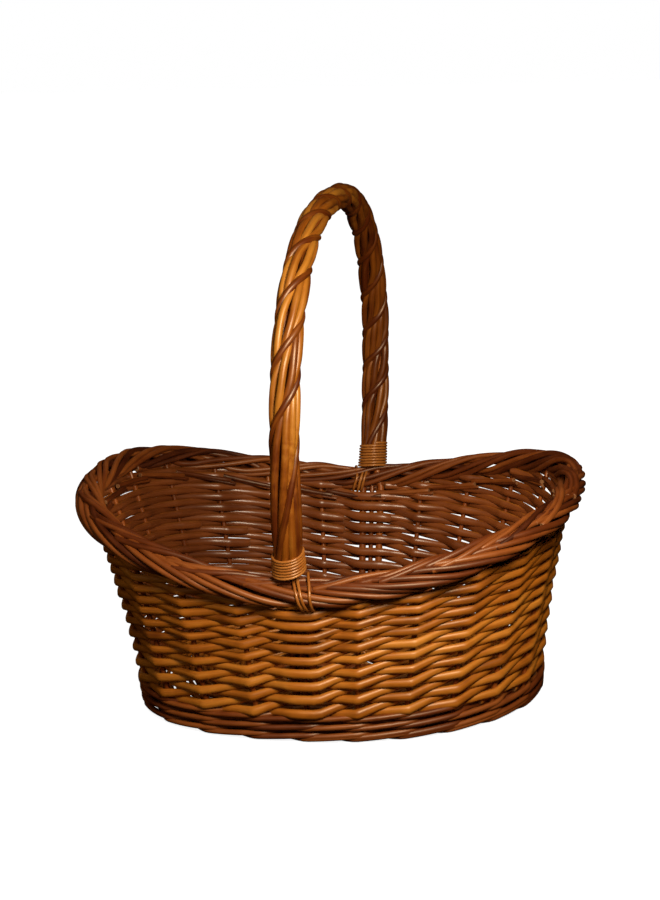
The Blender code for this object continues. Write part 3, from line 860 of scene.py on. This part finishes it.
def make_roping():
    """Golden rods laid along the bow, with two darker rods that wind round them and press them in."""
    rng = np.random.default_rng(SEED + 6)
    arch, at = even_arch(420)
    length = at[-1]
    kept = (at > ROPING_LOW) & (at < length - ROPING_LOW)
    sideways, radial = (v[kept] for v in arch_frame(arch))
    arch, at = arch[kept], at[kept]
    free = smooth_step((np.minimum(at, length - at) - FOOT_TIGHT) / (34 * MM))
    thinner = TOP_THIN * np.exp(-(((at - length / 2.0) / (TOP_REACH * MM)) ** 2))
    thinner = thinner - FAR_FULLER * smooth_step((at - 0.6 * length) / (0.2 * length))
    # Painted shade darkens the rods down the far leg; the rods are also darker toward the near foot.
    shade_and_tone = 1.0 - FAR_PAINTED_SHADE * smooth_step((at - 0.42 * length) / (0.25 * length))
    shade_and_tone = shade_and_tone * (0.5 + 0.5 * smooth_step((at - 60 * MM) / (90 * MM)))
    ridge = ridge_angles(at)

    def laid(angle, distance):
        away = sideways * np.cos(angle)[:, None] + radial * np.sin(angle)[:, None]
        return arch + away * (distance * MM)[:, None], away

    for bundle in range(3):
        rods = Rods()
        for i in range(bundle, CORE_RODS, 3):
            place = 2.0 * math.pi * i / CORE_RODS
            angle = place + 0.15 * np.sin(at * 23.0 + place * 2.0) + CORE_TWIST * ridge
            apart = (angle - ridge + math.pi / 2.0) % math.pi - math.pi / 2.0
            angle = angle - CORE_TWIST / 2.0 * np.sin(2.0 * apart)
            pressed = np.exp(-((apart / math.radians(40.0)) ** 2))
            distance = CORE_FAR - 1.2 * (1.0 - free) - CORE_DIP * free * pressed - thinner
            distance += 0.2 * np.sin(at * 40.0 + place * 3.0)
            path, away = laid(angle, distance)
            radius = CORE_R * MM * rng.uniform(0.95, 1.05)
            rods.add(path, radius, away, rng.uniform(0.3, 1.0) * shade_and_tone, 12)
        angle = 2.0 * math.pi * bundle / 3.0 + CORE_TWIST * ridge
        path, away = laid(angle, np.full(len(at), FILLER_FAR))
        rods.add(path, FILLER_R * MM, away, 0.2, 8)
        if bundle < 2:
            path, away = laid(ridge + math.pi * bundle, RIDGE_FAR - 0.3 * (1.0 - free) - thinner)
            rods.add(path, RIDGE_R * MM, away, (0.14 + 0.08 * bundle) * shade_and_tone, 12)
        node = f"handle_roping_{bundle + 1}"
        rods.piece(f"roping_bundle_{bundle + 1}", ROPE_GOLD, [node])


def make_binding(name, side, low, tall, turns, node):
    """A cane wound round one foot of the handle; side is -1 at the near foot and 1 at the far one."""
    rng = np.random.default_rng(SEED + 7)
    foot = arch_point(side)
    ahead = unit(arch_point(side * 0.97) - foot)
    sideways = unit(np.array([1.0, 0.0, 0.0]) - ahead * ahead[0])
    radial = np.cross(ahead, sideways)
    t = np.linspace(0.0, turns, int(turns * 24))
    angle = 2.0 * math.pi * t * (-side) + 0.6
    reach = (14.0 - 1.0 * (t / turns) ** 0.7 + 0.12 * np.sin(t * 5.0)) * MM
    height = low + tall * t / turns + BINDING_SLANT * reach * np.cos(angle)
    away = sideways * np.cos(angle)[:, None] + radial * np.sin(angle)[:, None]
    rods = Rods()
    path = foot + away * reach[:, None] + ahead * height[:, None]
    rods.add(path, BINDING_R, away, rng.random(), 8)
    rods.piece(name, CANE, [node])


LASHING_R, LASHING_FLAT = 1.3 * MM, 0.7
# Each strand's distance (mm) from the handle stake where it leaves the binding, passes under the border,
# and comes up behind it.
STRANDS = ((3.5, 11.5, 5.5), (7.0, 15.0, 9.0), (16.5, 19.5, 13.5))


def make_lashings(name, u0, lean, tail, node):
    """Strands tied over the border at stake u0, moved by lean. tail (mm) is how far out they start."""
    rng = np.random.default_rng(SEED + 8)
    rods = Rods()
    spacing = np.linalg.norm(wall(polar(1.0), 0.13) - wall(polar(0.0), 0.13))
    for start, end, back in STRANDS:
        # Distance from the stake, then angle and distance from the border's centre line.
        keys = np.array(
            [
                (start - 1.5, 96.0, tail),
                (start + 0.15 * (end - start), 58.0, 14.8),
                (start + 0.6 * (end - start), 0.0, 14.8),
                (end, -60.0, 14.2),
                (end, -105.0, 13.4),
                ((end + back) / 2, -160.0, 13.6),
                (back, -215.0, 13.8),
                (start, -262.0, 13.0),
            ]
        )
        shape = eased(np.linspace(0.0, len(keys) - 1.0, 64), np.arange(len(keys)), keys)
        u = u0 + (shape[:, 0] * MM + lean) / spacing
        path = border_point(u, shape[:, 1], shape[:, 2])
        away = border_away(u, shape[:, 1])
        rods.add(path, LASHING_R, away, rng.random(), 8, squash=LASHING_FLAT)
    rods.piece(name, CANE, [node + "_1", node + "_2"])


# ---- studio ----

FLOOR_HALF, FLOOR_Z = 9.0, -0.0005
# What the key light points at.
AIM = Vector((0.0, 0.0, 0.15))
CAMERA_AZIMUTH, CAMERA_ELEVATION, CAMERA_ROLL = 9.24, 14.61, -1.76
CAMERA_DISTANCE, CAMERA_LENS = 1.697, 73.7
CAMERA_TARGET = Vector((0.0, 0.0, 0.2256))


def make_floor():
    g = Graph("floor_paper")
    coords = g.node("ShaderNodeTexCoord").outputs["Object"]
    mottle = g.noise(coords, 6.0, 3.0)
    colour = g.ramp(mottle, ((0.3, (0.86, 0.86, 0.86)), (0.7, (0.9, 0.9, 0.9))))
    g.set(g.shader.inputs["Base Color"], colour)
    g.shader.inputs["Roughness"].default_value = 0.9
    g.shader.inputs["Emission Color"].default_value = (1.0, 1.0, 1.0, 1.0)
    g.shader.inputs["Emission Strength"].default_value = 0.9
    half, z = FLOOR_HALF, FLOOR_Z
    corners = [(-half, -half, z), (half, -half, z), (half, half, z), (-half, half, z)]
    mesh = bpy.data.meshes.new("floor")
    mesh.from_pydata(corners, [], [(0, 1, 2, 3)])
    floor = bpy.data.objects.new("floor", mesh)
    floor.data.materials.append(g.material)
    bpy.context.scene.collection.objects.link(floor)
    floor.visible_diffuse = False
    floor.visible_glossy = False


def direction(azimuth, elevation):
    """Unit vector from the object towards a light or camera; azimuth 0 is in front, along -Y."""
    a, e = math.radians(azimuth), math.radians(elevation)
    return Vector((math.sin(a) * math.cos(e), -math.cos(a) * math.cos(e), math.sin(e)))


def sun(name, azimuth, elevation, strength, spread, colour):
    light = bpy.data.lights.new(name, "SUN")
    light.energy = strength
    light.angle = math.radians(spread)
    light.color = colour
    obj = bpy.data.objects.new(name, light)
    obj.rotation_mode = "QUATERNION"
    obj.rotation_quaternion = direction(azimuth, elevation).to_track_quat("Z", "Y")
    obj.visible_glossy = False
    bpy.context.scene.collection.objects.link(obj)


def softbox(name, azimuth, elevation, distance, size, power, colour):
    light = bpy.data.lights.new(name, "AREA")
    light.shape = "DISK"
    light.size = size
    light.energy = power
    light.color = colour
    obj = bpy.data.objects.new(name, light)
    obj.location = AIM + direction(azimuth, elevation) * distance
    obj.rotation_mode = "QUATERNION"
    obj.rotation_quaternion = direction(azimuth, elevation).to_track_quat("Z", "Y")
    bpy.context.scene.collection.objects.link(obj)


def make_studio():
    world = bpy.data.worlds.new("studio")
    world.use_nodes = True
    background = world.node_tree.nodes["Background"]
    background.inputs["Color"].default_value = (1.0, 1.0, 1.0, 1.0)
    background.inputs["Strength"].default_value = 1.0
    bpy.context.scene.world = world
    world.cycles_visibility.diffuse = False
    world.cycles_visibility.glossy = False
    softbox("key", 22.0, 32.0, 0.85, 0.26, 7.6, (1.0, 0.95, 0.86))
    sun("fill", -50.0, 25.0, 0.4, 60.0, (1.0, 0.94, 0.86))
    sun("top", 10.0, 82.0, 0.25, 70.0, (1.0, 0.96, 0.92))
    sun("back", 205.0, 30.0, 0.5, 50.0, (1.0, 0.95, 0.88))
    bpy.context.scene.view_settings.view_transform = "Standard"


def make_camera():
    data = bpy.data.cameras.new("camera")
    data.lens = CAMERA_LENS
    data.sensor_width = 36.0
    obj = bpy.data.objects.new("camera", data)
    back = direction(CAMERA_AZIMUTH, CAMERA_ELEVATION)
    right = (-back).cross(Vector((0.0, 0.0, 1.0))).normalized()
    up = right.cross(-back)
    roll = math.radians(CAMERA_ROLL)
    across = right * math.cos(roll) + up * math.sin(roll)
    above = up * math.cos(roll) - right * math.sin(roll)
    turn = Matrix((across, above, back)).transposed()
    obj.matrix_world = Matrix.Translation(CAMERA_TARGET + back * CAMERA_DISTANCE) @ turn.to_4x4()
    bpy.context.scene.collection.objects.link(obj)
    bpy.context.scene.camera = obj


make_siding()
make_wale()
make_stakes()
make_base()
make_border()
make_bows()
make_roping()
make_binding("handle_binding_front_cane", -1.0, *BINDING_FRONT, "handle_binding_front")
make_binding("handle_binding_rear_cane", 1.0, *BINDING_REAR, "handle_binding_rear")
make_lashings("handle_lashing_front_cane", 0.0, -5.0 * MM, 21.0, "handle_lashing_front")
make_lashings("handle_lashing_rear_cane", STAKES / 2, 0.0, 15.5, "handle_lashing_rear")
make_floor()
make_studio()
make_camera()
